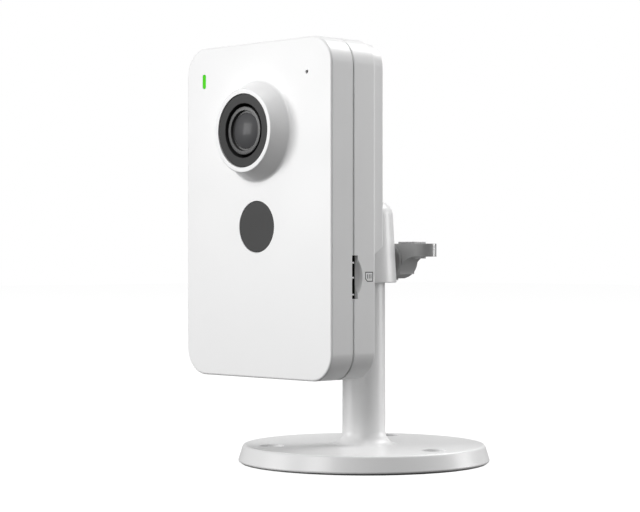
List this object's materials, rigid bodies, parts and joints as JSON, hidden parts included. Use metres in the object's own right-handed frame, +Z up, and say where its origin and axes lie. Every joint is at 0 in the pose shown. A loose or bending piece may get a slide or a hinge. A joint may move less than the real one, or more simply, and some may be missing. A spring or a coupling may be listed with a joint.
{
  "type": "security camera",
  "caption": "Flat desk security camera on a ball joint, with a lens collar, motion window, card slot, wing knob, round post and weighted round base.",
  "frame": {"origin": "centre of the base's underside, on the post's axis", "axes": "+Z up along the post, -Y the way the lens looks, +X towards the memory card slot"},
  "size_m": [0.0768, 0.0881, 0.1251],
  "materials": {
    "white_plastic": "satin moulded ABS",
    "grey_plastic": "satin moulded plastic",
    "black_plastic": "matt black plastic",
    "dark_window": "infrared-clear dark plastic",
    "lens_glass": "coated optical glass",
    "green_light": "translucent light guide, lit green",
    "steel": "zinc-plated steel",
    "brass": "turned brass",
    "rubber": "soft black rubber",
    "circuit_board": "green solder mask",
    "nylon": "natural nylon"
  },
  "bodies": {
    "stand": {"stand_base": "white_plastic", "base_weight": "steel", "foot_pad": "rubber", "ball_screw": "steel"},
    "ball_pivot": {"ball": "grey_plastic"},
    "cup_pivot": {"ball_cup": "nylon"},
    "head": {"socket_housing": "white_plastic", "thread_insert": "brass", "hub_screw_1": "steel", "hub_screw_2": "steel", "front_cover": "white_plastic", "rear_cover": "white_plastic", "case_screw_1": "steel", "case_screw_2": "steel", "case_screw_3": "steel", "case_screw_4": "steel", "lens_bezel": "dark_window", "ir_led_ring": "circuit_board", "lens_barrel": "black_plastic", "lens_front_glass": "lens_glass", "lens_rear_glass": "lens_glass", "lens_holder": "black_plastic", "image_sensor": "black_plastic", "sensor_board": "circuit_board", "holder_screw_1": "steel", "holder_screw_2": "steel", "main_board": "circuit_board", "board_screw_1": "steel", "board_screw_2": "steel", "board_screw_3": "steel", "processor": "black_plastic", "heat_spreader": "steel", "pir_window": "dark_window", "pir_sensor": "steel", "card_socket": "steel", "network_jack": "black_plastic", "power_jack": "black_plastic", "power_pin": "steel", "reset_switch": "black_plastic", "indicator_board": "circuit_board", "status_led": "green_light", "light_pipe": "green_light", "microphone": "steel", "mic_boot": "rubber", "wifi_antenna": "circuit_board", "speaker": "black_plastic", "sensor_cable": "nylon"},
    "clamp": {"clamp_screw": "steel"},
    "knob": {"wing_knob": "grey_plastic"},
    "card": {"memory_card": "black_plastic"},
    "reset": {"reset_button": "grey_plastic"},
    "day_night_filter": {"ir_cut_filter": "lens_glass"}
  },
  "joints": [
    {"name": "pan", "type": "hinge", "parent": "stand", "child": "ball_pivot", "pos_m": [0, 0, 0.0614], "axis": [0, 0, 1], "continuous": true},
    {"name": "tilt", "type": "hinge", "parent": "ball_pivot", "child": "cup_pivot", "pos_m": [0, 0, 0.0614], "axis": [1, 0, 0], "range_deg": [-15, 15]},
    {"name": "roll", "type": "hinge", "parent": "cup_pivot", "child": "head", "pos_m": [0, 0, 0.0614], "axis": [0, 1, 0], "range_deg": [-10, 10]},
    {"name": "clamp_travel", "type": "slide", "parent": "head", "child": "clamp", "axis": [0, 1, 0], "range_m": [0, 0.0016]},
    {"name": "knob_turn", "type": "hinge", "parent": "clamp", "child": "knob", "pos_m": [0, 0.00996, 0.0614], "axis": [0, 1, 0], "range_deg": [0, 720]},
    {"name": "card_slide", "type": "slide", "parent": "head", "child": "card", "axis": [1, 0, 0], "range_m": [-0.001, 0.004]},
    {"name": "reset_press", "type": "slide", "parent": "head", "child": "reset", "axis": [0, -1, 0], "range_m": [0, 0.0004], "stiffness_N_per_m": 400},
    {"name": "filter_slide", "type": "slide", "parent": "head", "child": "day_night_filter", "axis": [1, 0, 0], "range_m": [-0.007, 0]}
  ],
  "couplings": [
    {"joint": "knob_turn", "follows": "clamp_travel", "rad_per_m": 7854}
  ]
}
